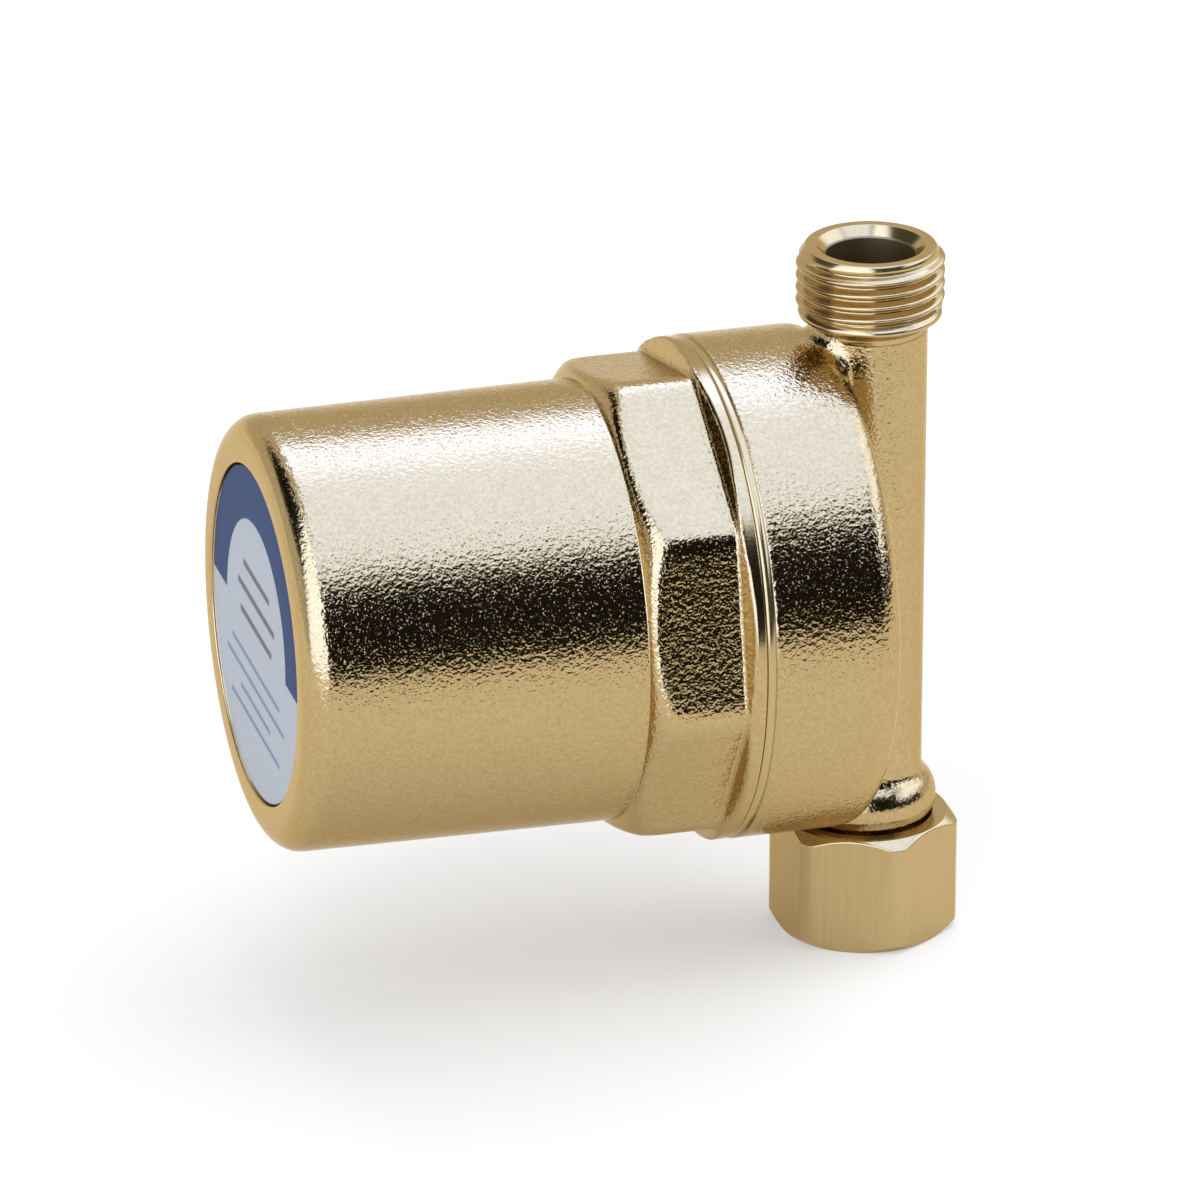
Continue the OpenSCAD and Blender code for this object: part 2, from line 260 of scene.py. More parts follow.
def printedLabel(name, look):
    material, maker, place = newFinish(name)
    y, z = maker.split(place)[1:]
    turn = math.radians(look["turn"])
    across, above = -y, z - axisZ * mm
    u = (across * math.cos(turn) + above * math.sin(turn)) / (look["radius"] * mm)
    v = (above * math.cos(turn) - across * math.sin(turn)) / (look["radius"] * mm)
    radius = (u * u + v * v).math("SQRT")
    edge = look["edge"]
    ring = radius.between(look["inner"] - edge, look["inner"] + edge) * v.between(-edge, edge)
    grain = maker.noise(place, look["grain"], 2.0)
    colour = maker.mix(grain * 0.12, look["film"] + (1,), look["filmGrain"] + (1,))
    for tone, bars in labelBars.items():
        cover = None
        for height, half, thick in bars:
            bar = (1 - (v - height).math("ABSOLUTE").between(thick - edge, thick + edge))
            bar = bar * (1 - u.math("ABSOLUTE").between(half - edge, half + edge))
            cover = bar if cover is None else cover.most(bar)
        colour = maker.mix(cover * look["cover"], colour, look[tone] + (1,))
    colour = maker.mix(ring, colour, look["ink"] + (1,))
    roughness = look["roughness"] + grain * 0.1
    closeFinish(maker, {"Base Color": colour, "Roughness": roughness, "Specular IOR Level": look["specular"]},
                grain, look["depth"])
    return material


labelFinish = printedLabel("labelFinish", labelLook)


def plainFinish(name, first, second, scale, roughness, metallic=0.0, depth=0.00002, stretch=(1, 1, 1)):
    material, maker, place = newFinish(name)
    stretched = maker.add("ShaderNodeMapping", {}, {"Vector": place, "Scale": stretch})
    grain = maker.noise(stretched, scale, 3.0)
    colour = maker.mix(grain.between(0.3, 0.7), first + (1,), second + (1,))
    rough = roughness + (grain - 0.5) * 0.15
    closeFinish(maker, {"Base Color": colour, "Roughness": rough, "Metallic": metallic}, grain, depth)
    return material


innerFinishes = {
    "housing_seal": plainFinish("sealRubber", (0.018, 0.018, 0.02), (0.03, 0.03, 0.032), 900, 0.55),
    "piston": plainFinish("pistonPolymer", (0.74, 0.72, 0.65), (0.80, 0.78, 0.72), 500, 0.42,
                          stretch=(12, 1, 1)),  # fine rings from turning
    "front_piston_ring": plainFinish("frontRingRubber", (0.018, 0.018, 0.02), (0.03, 0.03, 0.032), 900, 0.5),
    "rear_piston_ring": plainFinish("rearRingRubber", (0.018, 0.018, 0.02), (0.03, 0.03, 0.032), 900, 0.5),
    "nut_retaining_wire": plainFinish("ringWire", (0.42, 0.42, 0.44), (0.52, 0.52, 0.54), 1500, 0.3, 1.0, 0.000005),
    "inlet_gasket": plainFinish("gasketFibre", (0.33, 0.06, 0.035), (0.42, 0.09, 0.05), 1300, 0.75, 0.0, 0.00004),
}
springFinish = plainFinish("springWire", (0.30, 0.31, 0.33), (0.42, 0.43, 0.45), 700, 0.32, 1.0, 0.00001)
for node, finish in innerFinishes.items():
    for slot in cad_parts[node].material_slots:
        slot.material = finish
print("finishes made")


# geometry trees
def startTree(name, sizes):
    tree = bpy.data.node_groups.new(name, "GeometryNodeTree")
    tree.interface.new_socket("Geometry", in_out="INPUT", socket_type="NodeSocketGeometry")
    for label, kind in sizes:
        tree.interface.new_socket(label, in_out="INPUT", socket_type="NodeSocket" + kind)
    tree.interface.new_socket("Geometry", in_out="OUTPUT", socket_type="NodeSocketGeometry")
    maker = NodeMaker(tree)
    source = maker.add("NodeGroupInput", out=None)
    return maker, {s.name: Wire(maker, s) for s in source.outputs if s.name}


def endTree(maker, geometry, finish):
    smooth = maker.add("GeometryNodeSetShadeSmooth", {}, {"Geometry": geometry})
    real = maker.add("GeometryNodeRealizeInstances", {}, {"Geometry": smooth})
    painted = maker.add("GeometryNodeSetMaterial", {}, {"Geometry": real, "Material": finish})
    maker.add("NodeGroupOutput", {}, {0: painted}, None)
    return maker.tree


def runTree(piece, tree, values):
    modifier = piece.modifiers.new("shape", "NODES")
    modifier.node_group = tree
    for item in tree.interface.items_tree:
        if item.in_out == "INPUT" and item.name in values:
            modifier[item.identifier] = values[item.name]
    piece.update_tag()
    bpy.context.view_layer.update()
    shaped = bpy.data.meshes.new_from_object(piece.evaluated_get(bpy.context.evaluated_depsgraph_get()))
    piece.modifiers.clear()
    rough = piece.data
    piece.data = shaped
    bpy.data.meshes.remove(rough)
    shaped.name = piece.name
    pointOutwards(shaped)
    return piece


def pointOutwards(mesh):
    same = 1e-7  # points closer than this are one
    work = bmesh.new()
    work.from_mesh(mesh)
    bmesh.ops.remove_doubles(work, verts=work.verts, dist=same)
    bmesh.ops.dissolve_degenerate(work, edges=work.edges, dist=same)
    bmesh.ops.recalc_face_normals(work, faces=work.faces)
    work.to_mesh(mesh)
    work.free()


def makeTurningTree():  # a profile turned about its axis, with flats and threads cut by rule
    maker, size = startTree("turning", [
        ("Segments", "Int"), ("Flats", "Float"), ("Flat Reach", "Float"), ("Flat Turn", "Float"),
        ("Flat End", "Float"), ("Runout Steepness", "Float"), ("Edge Softness", "Float"),
        ("Corner Softness", "Float"),
        ("Shoulder Softness", "Float"), ("Shoulder Start", "Float"),
        ("Thread Pitch", "Float"), ("Thread Minor", "Float"), ("Thread Depth", "Float"),
        ("Thread Softness", "Float"), ("Place", "Vector"), ("Turn", "Rotation"), ("Finish", "Material")])
    profile = size["Geometry"]
    rows = maker.add("GeometryNodeAttributeDomainSize", {"component": "MESH"}, {"Geometry": profile}, "Point Count")
    grid = maker.add("GeometryNodeMeshGrid", {}, {
        "Size X": 1.0, "Size Y": 1.0, "Vertices X": rows, "Vertices Y": size["Segments"] + 1}, "Mesh")
    here = maker.add("GeometryNodeInputPosition")
    along, around = maker.split(here)[:2]
    row = ((along + 0.5) * (rows - 1)).math("ROUND")
    angle = (around + 0.5) * (2 * math.pi)

    def readRow(field, kind):
        return maker.add("GeometryNodeSampleIndex", {"data_type": kind, "domain": "POINT"},
                         {"Geometry": profile, "Value": field, "Index": row})

    def readMark(name):
        mark = maker.add("GeometryNodeInputNamedAttribute", {"data_type": "FLOAT"}, {"Name": name}, "Attribute")
        return readRow(mark, "FLOAT")

    radius, height = maker.split(readRow(here, "FLOAT_VECTOR"))[:2]
    half = math.pi / size["Flats"]
    local = (angle - size["Flat Turn"]).math("WRAP", half, -half)
    runout = ((size["Flat End"] - height) * size["Runout Steepness"]).most(0.0, size["Edge Softness"])
    inner = size["Flat Reach"] + runout
    neighbour = inner / (2 * half - local.math("ABSOLUTE")).math("COSINE")
    reach = (inner / local.math("COSINE")).least(neighbour, size["Corner Softness"])
    beyond = softStep(height - size["Shoulder Start"], (-3, 1))  # flats melt into the shoulder here
    flatted = radius.least(reach, size["Edge Softness"] + size["Shoulder Softness"] * beyond)
    radius = radius + readMark("flatted") * (flatted - radius)
    phase = height / size["Thread Pitch"] - (around + 0.5)
    ridge = size["Thread Minor"] + size["Thread Depth"] * (0.5 + 0.5 * (phase * (2 * math.pi)).math("COSINE"))
    mark = readMark("threaded")
    outside = radius.least(ridge, size["Thread Softness"])
    inside = radius.most(ridge, size["Thread Softness"])
    radius = radius + mark.most(0.0) * (outside - radius) + (-mark).most(0.0) * (inside - radius)
    place = maker.join(radius * angle.math("COSINE"), radius * angle.math("SINE"), height)
    turned = maker.add("GeometryNodeSetPosition", {}, {"Geometry": grid, "Position": place})
    closed = maker.add("GeometryNodeMergeByDistance", {}, {"Geometry": turned, "Distance": 1e-6})
    placed = maker.add("GeometryNodeTransform", {}, {
        "Geometry": closed, "Translation": size["Place"], "Rotation": size["Turn"]})
    return endTree(maker, placed, size["Finish"])


turningTree = makeTurningTree()


def roundedLine(corners, step):  # points along (radius, height, rounding) corners
    arcStep = 9  # degrees
    line = []
    for i, (r, h, rounding) in enumerate(corners):
        corner = np.array((r, h), float)
        if rounding == 0:
            line.append(corner)
            continue
        before = np.array(corners[i - 1][:2], float) - corner
        after = np.array(corners[i + 1][:2], float) - corner
        before /= np.linalg.norm(before)
        after /= np.linalg.norm(after)
        opening = math.acos(np.clip(before @ after, -1, 1))
        reach = rounding / math.tan(opening / 2)
        centre = corner + (before + after) / np.linalg.norm(before + after) * rounding / math.sin(opening / 2)
        first, last = corner + before * reach - centre, corner + after * reach - centre
        sweep = math.pi - opening
        count = max(3, math.ceil(math.degrees(sweep) / arcStep))
        for k in range(count + 1):
            t = k / count
            line.append(centre + (math.sin((1 - t) * sweep) * first + math.sin(t * sweep) * last) / math.sin(sweep))
    filled = [line[0]]
    for point in line[1:]:
        gap = np.linalg.norm(point - filled[-1])
        wide = step(point, filled[-1]) if callable(step) else step
        parts = max(1, math.ceil(gap / wide - 1e-6))
        start = filled[-1]
        filled += [start + (point - start) * k / parts for k in range(1, parts + 1)]
    return filled


def turnPiece(name, line, finish, segments, values, flatted=None, threaded=None, alongX=False):
    mesh = bpy.data.meshes.new(name)
    mesh.from_pydata([(r * mm, h * mm, 0) for r, h in line], [(i, i + 1) for i in range(len(line) - 1)], [])
    for mark, rule in (("flatted", flatted), ("threaded", threaded)):
        layer = mesh.attributes.new(mark, "FLOAT", "POINT")
        layer.data.foreach_set("value", [float(rule(r, h)) if rule else 0.0 for r, h in line])
    piece = bpy.data.objects.new(name, mesh)
    scene.collection.objects.link(piece)
    sizes = {"Segments": segments, "Flats": 8.0, "Flat Reach": 1.0, "Thread Pitch": 1.0, "Finish": finish}
    if alongX:
        sizes["Place"] = (0.0, 0.0, axisZ * mm)
        sizes["Turn"] = (0.0, -math.pi / 2, 0.0)
    sizes.update(values)
    runTree(piece, turningTree, sizes)
    print(name, "triangles:", sum(len(p.vertices) - 2 for p in piece.data.polygons))
    return piece


# spring housing: distances run from the tube axis toward the label
housing = {"joint": 25.2, "front": 89.4, "collar": 35.6, "barrel": 31.2, "frontRadius": 30.7, "frontRound": 3.8,
           "octagonEnd": 36.6, "shoulder": 4.4, "flatReach": 32.3, "flatTurn": 12.0, "flatEnd": 27.8,
           "runout": 0.9, "edgeSoft": 0.8, "cornerSoft": 2.6, "shoulderSoft": 1.3, "recess": 24.1, "recessDepth": 0.9,
           "lip": 34.6, "groove": 28.1, "grooveEnd": 22.4, "spigot": 30.0, "spigotEnd": 12.7, "spigotBevel": 0.8,
           "pistonBore": 26.0, "pistonStop": 50.9, "springBore": 24.5, "springEnd": 84.1, "springRound": 3.0,
           "boss": 13.0, "bossEnd": 81.6, "bossBevel": 0.5, "segments": 400}


def makeHousing(h):
    floor = h["front"] - h["recessDepth"]
    turns = np.radians(np.linspace(72, 18, 15))  # round shoulder from the barrel up to the octagon
    bend = h["shoulder"] / (math.sin(turns[0]) - math.sin(turns[-1]))
    shoulder = [(h["barrel"] + bend * (math.cos(a) - math.cos(turns[0])),
                 h["octagonEnd"] + bend * (math.sin(a) - math.sin(turns[-1])), 0) for a in turns]
    corners = [
        (0, floor, 0), (h["recess"], floor, 0), (h["recess"], h["front"], 0.25),
        (h["frontRadius"], h["front"], h["frontRound"]),
        (h["barrel"], h["octagonEnd"] + h["shoulder"] + 0.15, 0), *shoulder,
        (h["collar"], h["joint"] + 0.1, 0.35), (h["lip"], h["joint"], 0.2),
        (h["groove"], h["joint"], 0), (h["groove"], h["grooveEnd"], 0), (h["spigot"], h["grooveEnd"], 0),
        (h["spigot"], h["spigotEnd"] + h["spigotBevel"], 0), (h["spigot"] - h["spigotBevel"], h["spigotEnd"], 0),
        (h["pistonBore"] + h["spigotBevel"], h["spigotEnd"], 0),
        (h["pistonBore"], h["spigotEnd"] + h["spigotBevel"], 0), (h["pistonBore"], h["pistonStop"], 0),
        (h["springBore"], h["pistonStop"], 0), (h["springBore"], h["springEnd"], h["springRound"]),
        (h["boss"], h["springEnd"], 0), (h["boss"], h["bossEnd"] + h["bossBevel"], 0),
        (h["boss"] - h["bossBevel"], h["bossEnd"], 0), (0, h["bossEnd"], 0)]

    def step(point, last):  # close rows on the octagon and its shoulder
        middle = (point[1] + last[1]) / 2
        return 0.28 if h["barrel"] < max(point[0], last[0]) and 26 < middle < 41 else 6

    values = {"Flats": 8.0, "Flat Reach": h["flatReach"] * mm, "Flat Turn": math.radians(h["flatTurn"]),
              "Flat End": h["flatEnd"] * mm, "Edge Softness": h["edgeSoft"] * mm,
              "Corner Softness": h["cornerSoft"] * mm, "Shoulder Softness": h["shoulderSoft"] * mm,
              "Shoulder Start": h["octagonEnd"] * mm,
              "Runout Steepness": (h["collar"] - h["flatReach"]) / h["runout"]}
    line = roundedLine(corners, step)
    return turnPiece("springHousing", line, forgedHousing, h["segments"], values,
                     flatted=lambda r, d: 25.6 < d < shoulder[0][1] + 0.01 and r > 31, alongX=True)


housingPiece = makeHousing(housing)
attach(housingPiece, "body")
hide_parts("spring_housing")


# printed label in the front's recess
def makeLabel(look):
    corners = [(0, look["back"], 0), (look["radius"], look["back"], 0),
               (look["radius"], look["face"], look["rounding"]), (0, look["face"], 0)]
    return turnPiece("frontLabel", roundedLine(corners, 6), labelFinish, look["segments"], {}, alongX=True)


labelPiece = makeLabel(labelLook)
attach(labelPiece, "body")
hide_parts("label_disc")

# threaded outlet with its countersunk bore
outlet = {"bottom": 91.0, "top": 103.3, "major": 10.4775, "minor": 9.316, "pitch": 1.814, "bore": 6.3, "foot": 8.2,
          "footTop": 91.9, "ring": 10.4, "ringHeight": 93.4, "groove": 94.5, "lead": 9.95, "leadDepth": 1.15,
          "face": 9.15, "countersink": 7.65, "countersinkDepth": 1.485, "threadSoft": 0.12, "segments": 180}


def makeOutlet(o):
    cut = o["major"] - o["minor"]
    corners = [
        (o["bore"], o["bottom"], 0), (o["foot"], o["bottom"], 0), (o["foot"], o["footTop"], 0.3),
        (o["ring"], o["ringHeight"], 0.5), (o["minor"], o["groove"], 0.1), (o["major"], o["groove"] + 0.1, 0),
        (o["major"], o["top"] - o["leadDepth"] - 0.55, 0.1), (o["lead"], o["top"] - o["leadDepth"], 0.15),
        (o["face"], o["top"], 0.2), (o["countersink"], o["top"], 0.1),
        (o["bore"], o["top"] - o["countersinkDepth"], 0.08), (o["bore"], o["bottom"], 0)]
    values = {"Thread Pitch": o["pitch"] * mm, "Thread Minor": o["minor"] * mm, "Thread Depth": cut * mm,
              "Thread Softness": o["threadSoft"] * mm}

    def step(point, last):  # close rows on the thread
        return 0.1 if point[0] > 9.4 else 1.2

    return turnPiece("outletThread", roundedLine(corners, step), turnedUpright, o["segments"], values,
                     threaded=lambda r, h: r > 9.2 and o["groove"] - 0.1 < h < o["top"] - o["leadDepth"] + 0.2)


outletPiece = makeOutlet(outlet)
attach(outletPiece, "body")

# machined mouth of the drum
mouth = {"start": 24.0, "end": 25.2, "outer": 35.7, "bevel": 0.5, "inner": 30.1, "segments": 360}


def makeMouth(m):
    corners = [(m["inner"], m["start"], 0), (m["outer"], m["start"], 0), (m["outer"] - m["bevel"], m["end"], 0.2),
               (m["inner"], m["end"], 0), (m["inner"], m["start"], 0)]
    return turnPiece("drumMouth", roundedLine(corners, 2), turnedMouth, m["segments"], {}, alongX=True)


mouthPiece = makeMouth(mouth)
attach(mouthPiece, "body")

# swivel nut with its female thread
nut = {"height": 17.3, "flats": 24.0, "turn": 65.2, "corner": 13.4, "rim": 11.9, "chamfer": 1.2, "mouth": 9.816,
       "bore": 9.336, "bevel": 0.5, "relief": 10.4775, "reliefTop": 13.0, "reliefEnd": 10.4, "minor": 9.316,
       "depth": 1.1615, "pitch": 1.814, "edgeSoft": 0.35, "cornerSoft": 0.35, "threadSoft": 0.1, "segments": 360}


def makeNut(n):
    top = n["height"]
    corners = [
        (n["mouth"], 0, 0), (n["rim"], 0, 0.15), (n["corner"], n["chamfer"], 0.15),
        (n["corner"], top - n["chamfer"], 0.15), (n["rim"], top, 0.12), (n["bore"] + n["bevel"], top, 0.08),
        (n["bore"], top - n["bevel"], 0), (n["bore"], n["reliefTop"], 0), (n["relief"], n["reliefTop"], 0),
        (n["relief"], n["reliefEnd"], 0), (n["minor"], n["reliefEnd"], 0), (n["minor"], n["bevel"], 0),
        (n["mouth"], 0, 0)]

    def step(point, last):  # close rows on the thread and the chamfers
        if point[0] < 9.9 and max(point[1], last[1]) < 10.5:
            return 0.14
        return 0.12 if abs(point[0] - last[0]) > 0.02 and point[0] > 11 else 1.6

    values = {"Flats": 6.0, "Flat Reach": n["flats"] / 2 * mm, "Flat Turn": math.radians(n["turn"]),
              "Edge Softness": n["edgeSoft"] * mm, "Corner Softness": n["cornerSoft"] * mm,
              "Thread Pitch": n["pitch"] * mm, "Thread Minor": n["minor"] * mm,
              "Thread Depth": n["depth"] * mm, "Thread Softness": n["threadSoft"] * mm}
    return turnPiece("swivelNut", roundedLine(corners, step), drawnNut, n["segments"], values,
                     flatted=lambda r, h: r > 11.5, threaded=lambda r, h: -1 if r < 10 and h < 10.45 else 0)


nutPiece = makeNut(nut)
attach(nutPiece, "nut_group")
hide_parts("swivel_nut")

# compression spring behind the piston
spring = {"start": 18.4, "length": 65.7, "coil": 16.5, "wire": 3.0, "turns": 7.0, "endPitch": 6.12, "ground": 1.5,
          "perTurn": 48, "sides": 20, "travel": 20.0}


def makeSpringTree():
    maker, size = startTree("coiledWire", [
        ("Turns", "Float"), ("Steps", "Int"), ("Coil Radius", "Float"), ("Wire Radius", "Float"), ("Length", "Float"),
        ("End Pitch", "Float"), ("Ground", "Float"), ("Sides", "Int"), ("Start", "Float"), ("Axis Height", "Float"),
        ("Finish", "Material")])
    line = maker.add("GeometryNodeMeshLine", {}, {"Count": size["Steps"] + 1}, "Mesh")
    turns = maker.add("GeometryNodeInputIndex") * size["Turns"] / size["Steps"]
    low = size["Ground"] + size["End Pitch"] * turns
    high = size["Length"] - size["Ground"] - size["End Pitch"] * (size["Turns"] - turns)
    seat = size["Ground"] + size["End Pitch"]
    middle = seat + (size["Length"] - seat * 2) * (turns - 1) / (size["Turns"] - 2)
    blend = 0.8 * mm  # from the closed end turns into the open ones
    height = middle.most(low, blend).least(high, blend)
    angle = turns * (2 * math.pi)
    place = maker.join(-(size["Start"] + height), size["Coil Radius"] * angle.math("SINE"),
                       size["Axis Height"] + size["Coil Radius"] * angle.math("COSINE"))
    helix = maker.add("GeometryNodeSetPosition", {}, {"Geometry": line, "Position": place})
    curve = maker.add("GeometryNodeMeshToCurve", {}, {"Mesh": helix})
    section = maker.add("GeometryNodeCurvePrimitiveCircle", {}, {
        "Resolution": size["Sides"], "Radius": size["Wire Radius"]}, "Curve")
    wire = maker.add("GeometryNodeCurveToMesh", {}, {"Curve": curve, "Profile Curve": section, "Fill Caps": True})
    x, y, z = maker.split(maker.add("GeometryNodeInputPosition"))
    x = x.math("MINIMUM", -size["Start"]).math("MAXIMUM", -(size["Start"] + size["Length"]))
    ground = maker.add("GeometryNodeSetPosition", {}, {"Geometry": wire, "Position": maker.join(x, y, z)})
    return endTree(maker, ground, size["Finish"])


def makeSpring(s):
    piece = bpy.data.objects.new("dampingSpring", bpy.data.meshes.new("dampingSpring"))
    scene.collection.objects.link(piece)
    runTree(piece, makeSpringTree(), {
        "Turns": s["turns"], "Steps": int(s["turns"] * s["perTurn"]), "Coil Radius": s["coil"] * mm,
        "Wire Radius": s["wire"] * mm, "Length": s["length"] * mm, "End Pitch": s["endPitch"] * mm,
        "Ground": s["ground"] * mm, "Sides": s["sides"], "Start": s["start"] * mm, "Axis Height": axisZ * mm,
        "Finish": springFinish})
    print("dampingSpring triangles:", sum(len(p.vertices) - 2 for p in piece.data.polygons))
    return piece


springPiece = makeSpring(spring)
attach(springPiece, "body")
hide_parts("damping_spring")
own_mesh(springPiece)


# forged body: drum, tube and bead flow into each other, so it is a field of distances turned into a mesh
body = {"drum": 35.7, "back": 5.2, "mouth": 24.0, "backRound": 3.8, "tube": 8.15, "bore": 6.3, "tail": 12.5,
        "tubeTop": 92.0, "beadRing": 5.55, "bead": 4.7, "beadHeight": 20.2, "journal": 9.276, "floor": 10.7,
        "cavity": 30.1, "port": 5.0, "land": 13.5, "landHalf": 1.5, "landRise": 1.6, "wireHeight": 15.2,
        "wireHalf": 0.75, "wireFloor": 7.8, "fillet": 0.7, "neckFillet": 3.2, "neckStart": 85, "neckLength": 6,
        "beadFillet": 0.9, "bevelSlope": 0.8, "bevelScale": 0.78, "low": (-25.2, -37.1, 11.2),
        "high": (11.1, 37.1, 94.1), "pitch": 0.5}


def smoothUnion(a, b, k):
    h = np.clip(0.5 + 0.5 * (b - a) / k, 0, 1)
    return b + (a - b) * h - k * h * (1 - h)


def bodyField(b, x, y, z):
    d = -x
    rho = np.hypot(y, z - axisZ)
    out, behind = rho - (b["drum"] - b["backRound"]), b["back"] + b["backRound"] - d
    rounding = np.hypot(np.maximum(out, 0), np.maximum(behind, 0)) - b["backRound"]
    drum = np.minimum(np.maximum(out, behind), 0) + rounding
    t = np.hypot(x, y)
    tube = np.maximum(t - b["tube"], np.maximum(z - b["tubeTop"], b["tail"] - z))
    bead = np.hypot(t - b["beadRing"], z - b["beadHeight"]) - b["bead"]
    journal = np.maximum(t - b["journal"], np.maximum(z - b["beadHeight"], b["tail"] - z))
    rise = np.clip((z - b["neckStart"]) / b["neckLength"], 0, 1)  # wider fillet below the outlet
    solid = smoothUnion(drum, tube, b["fillet"] + (b["neckFillet"] - b["fillet"]) * rise * rise * (3 - 2 * rise))
    solid = smoothUnion(solid, np.minimum(bead, journal), b["beadFillet"])
    bevel = (rho - b["drum"] + (d - b["mouth"] + 0.05) * b["bevelSlope"]) * b["bevelScale"]
    solid = np.maximum(solid, np.maximum(d - b["mouth"] - 0.5, bevel))
    lands = np.maximum(np.abs(rho - b["land"]) - b["landHalf"], d - b["floor"] - b["landRise"])
    cavity = np.maximum(np.maximum(rho - b["cavity"], b["floor"] - d), -lands)
    port = np.maximum(rho - b["port"], np.maximum(-d, d - b["floor"] - 1))
    groove = np.maximum(np.abs(z - b["wireHeight"]) - b["wireHalf"], b["wireFloor"] - t)
    hollow = np.minimum(np.minimum(t - b["bore"], cavity), np.minimum(port, groove))
    return np.maximum(solid, -hollow)


def surfaceNet(field, low, high, pitch):  # mesh of the surface where the field is zero
    axes = [np.arange(a, b + pitch, pitch) for a, b in zip(low, high)]
    value = field(*np.meshgrid(*axes, indexing="ij"))
    inside = value < 0
    shape = np.array(value.shape) - 1
    total, weight = np.zeros((*shape, 3)), np.zeros(shape)
    corner = [(i, j, k) for i in (0, 1) for j in (0, 1) for k in (0, 1)]
    part = {c: tuple(slice(s, s + n) for s, n in zip(c, shape)) for c in corner}
    for a in corner:
        for axis in range(3):
            if a[axis] == 0:
                b = tuple(1 if i == axis else a[i] for i in range(3))
                va, vb = value[part[a]], value[part[b]]
                crossed = inside[part[a]] != inside[part[b]]
                share = np.where(crossed, va / np.where(crossed, va - vb, 1), 0)
                for i in range(3):
                    total[..., i] += np.where(crossed, a[i] + (share if i == axis else 0), 0)
                weight += crossed
    used = weight > 0
    index = np.full(shape, -1)
    index[used] = np.arange(used.sum())
    cells = np.argwhere(used)
    points = (cells + total[used] / weight[used][:, None]) * pitch + np.array(low)
    quads = []
    for axis in range(3):
        u, v = [(1, 2), (2, 0), (0, 1)][axis]
        first = [slice(1, -1)] * 3
        first[axis] = slice(0, -1)
        second = list(first)
        second[axis] = slice(1, None)
        starts = inside[tuple(first)]
        change = np.argwhere(starts != inside[tuple(second)])
        leaving = starts[tuple(change.T)]
        base = change + [0 if i == axis else 1 for i in range(3)]
        ring = []
        for du, dv in ((-1, -1), (0, -1), (0, 0), (-1, 0)):
            cell = base.copy()
            cell[:, u] += du
            cell[:, v] += dv
            ring.append(index[tuple(cell.T)])
        ring = np.stack(ring, 1)
        ring[~leaving] = ring[~leaving][:, ::-1]
        quads.append(ring)
    e, furthest = 0.02, 0.3 * pitch  # step of the slope, longest pull
    for pull in range(4):  # each point goes onto the surface
        x, y, z = points.T
        slope = np.stack([field(x + e, y, z) - field(x - e, y, z), field(x, y + e, z) - field(x, y - e, z),
                          field(x, y, z + e) - field(x, y, z - e)], 1) / (2 * e)
        move = field(x, y, z)[:, None] * slope / np.maximum((slope ** 2).sum(1), 0.2)[:, None]
        points -= np.clip(move, -furthest, furthest)
    return points, np.concatenate(quads)


def makeBody(b):
    points, quads = surfaceNet(lambda x, y, z: bodyField(b, x, y, z), b["low"], b["high"], b["pitch"])
    mesh = bpy.data.meshes.new("inletBody")
    mesh.from_pydata((points * mm).tolist(), [], quads.tolist())
    mesh.materials.append(forgedBody)
    pointOutwards(mesh)
    mesh.shade_smooth()
    piece = bpy.data.objects.new("inletBody", mesh)
    scene.collection.objects.link(piece)
    print("inletBody triangles:", 2 * len(quads))
    return piece


bodyPiece = makeBody(body)
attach(bodyPiece, "body")
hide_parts("inlet_body")


# studio: pale floor, a long panel of light overhead, smaller ones left and right, dark space in between
studio = {"floor": (0.785, 0.79, 0.80), "floorGrain": (0.75, 0.75, 0.76), "floorLow": (-0.75, -0.62),
          "floorHigh": (2.5, 3), "glow": 0.34, "bright": (2.3, 3.05, 6.5), "soft": (1.6, 2.1, 3.85),
          "left": (2.2, 2.7, 4.4), "right": (1.9, 2.3, 3.7), "back": 0.78, "edge": 0.75, "dark": 0.012}


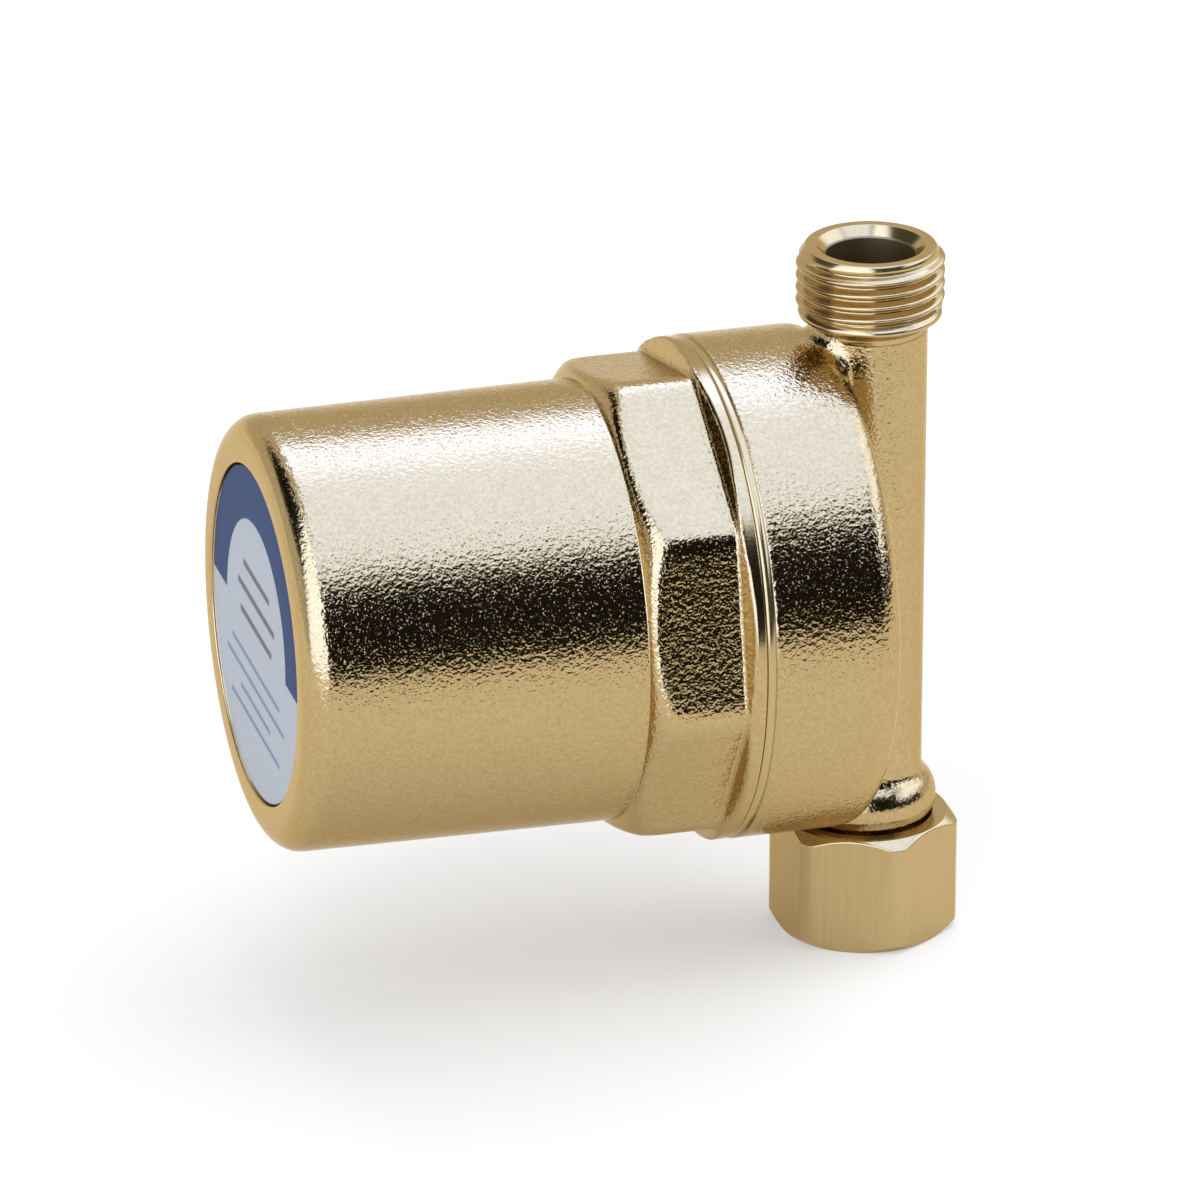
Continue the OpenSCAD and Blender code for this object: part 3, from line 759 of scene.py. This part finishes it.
def makeFloor():
    mesh = bpy.data.meshes.new("floor")
    (x0, y0), (x1, y1) = studio["floorLow"], studio["floorHigh"]
    mesh.from_pydata([(x0, y0, 0), (x1, y0, 0), (x1, y1, 0), (x0, y1, 0)], [], [(0, 1, 2, 3)])
    material, maker, place = newFinish("paleFloor")
    grain = maker.noise(place, 40, 2.0)
    colour = maker.mix(grain * 0.1, studio["floor"] + (1,), studio["floorGrain"] + (1,))
    matt = maker.add("ShaderNodeBsdfDiffuse", {}, {"Color": colour})
    white = maker.add("ShaderNodeEmission", {}, {"Strength": 1.0})
    path = maker.add("ShaderNodeLightPath", out=None)
    rays = [Wire(maker, path.outputs[name]) for name in ("Is Camera Ray", "Is Glossy Ray", "Is Transmission Ray")]
    seen = rays[0].most(rays[1]).most(rays[2])
    shader = maker.add("ShaderNodeMixShader", {}, {0: seen * studio["glow"], 1: matt, 2: white})
    maker.add("ShaderNodeOutputMaterial", {}, {"Surface": shader}, None)
    mesh.materials.append(material)
    floor = bpy.data.objects.new("floor", mesh)
    scene.collection.objects.link(floor)


def makeWorld():
    world = bpy.data.worlds.new("studio")
    scene.world = world
    world.use_nodes = True
    world.node_tree.nodes.clear()
    maker = NodeMaker(world.node_tree)
    x, y, z = maker.split(maker.add("ShaderNodeTexCoord", out="Generated"))

    def grey(level):
        return (level, level, level, 1)

    front = (-y).between(-0.1, 0.2)  # 1 toward the camera
    low = maker.mix(front, grey(studio["back"]), grey(studio["dark"]))
    farLeft = (-x).between(0.35, 0.5) * z.between(0.3, 0.42)
    low = maker.mix(farLeft, low, grey(studio["dark"]))
    left = (-x).between(0.12, 0.26) * (-y).between(0.05, 0.2)
    low = maker.mix(left, low, studio["left"] + (1,))
    farRight = x.between(0.55, 0.7)
    low = maker.mix(farRight * z.between(0.2, 0.4), low, studio["right"] + (1,))
    panel = maker.mix(y.between(0.2, 0.5), studio["soft"] + (1,), studio["bright"] + (1,))
    inner = z.between(0.68, 0.77).most(y.between(0.0, 0.2))  # the panel's front edge is dimmer
    panel = maker.mix(inner, grey(studio["edge"]), panel)
    overhead = z.between(0.65, 0.71) * x.between(-0.2, -0.06) * (1 - farRight)
    colour = maker.mix(overhead, low, panel)
    even = maker.add("ShaderNodeRGBToBW", {}, {"Color": colour})
    path = maker.add("ShaderNodeLightPath", out=None)
    colour = maker.mix(Wire(maker, path.outputs["Is Glossy Ray"]), even, colour)  # tint in reflections only
    light = maker.add("ShaderNodeBackground", {}, {"Color": colour, "Strength": 1.0})
    maker.add("ShaderNodeOutputWorld", {}, {"Surface": light}, None)


makeFloor()
makeWorld()
scene.view_settings.view_transform = "Standard"
print("studio set")
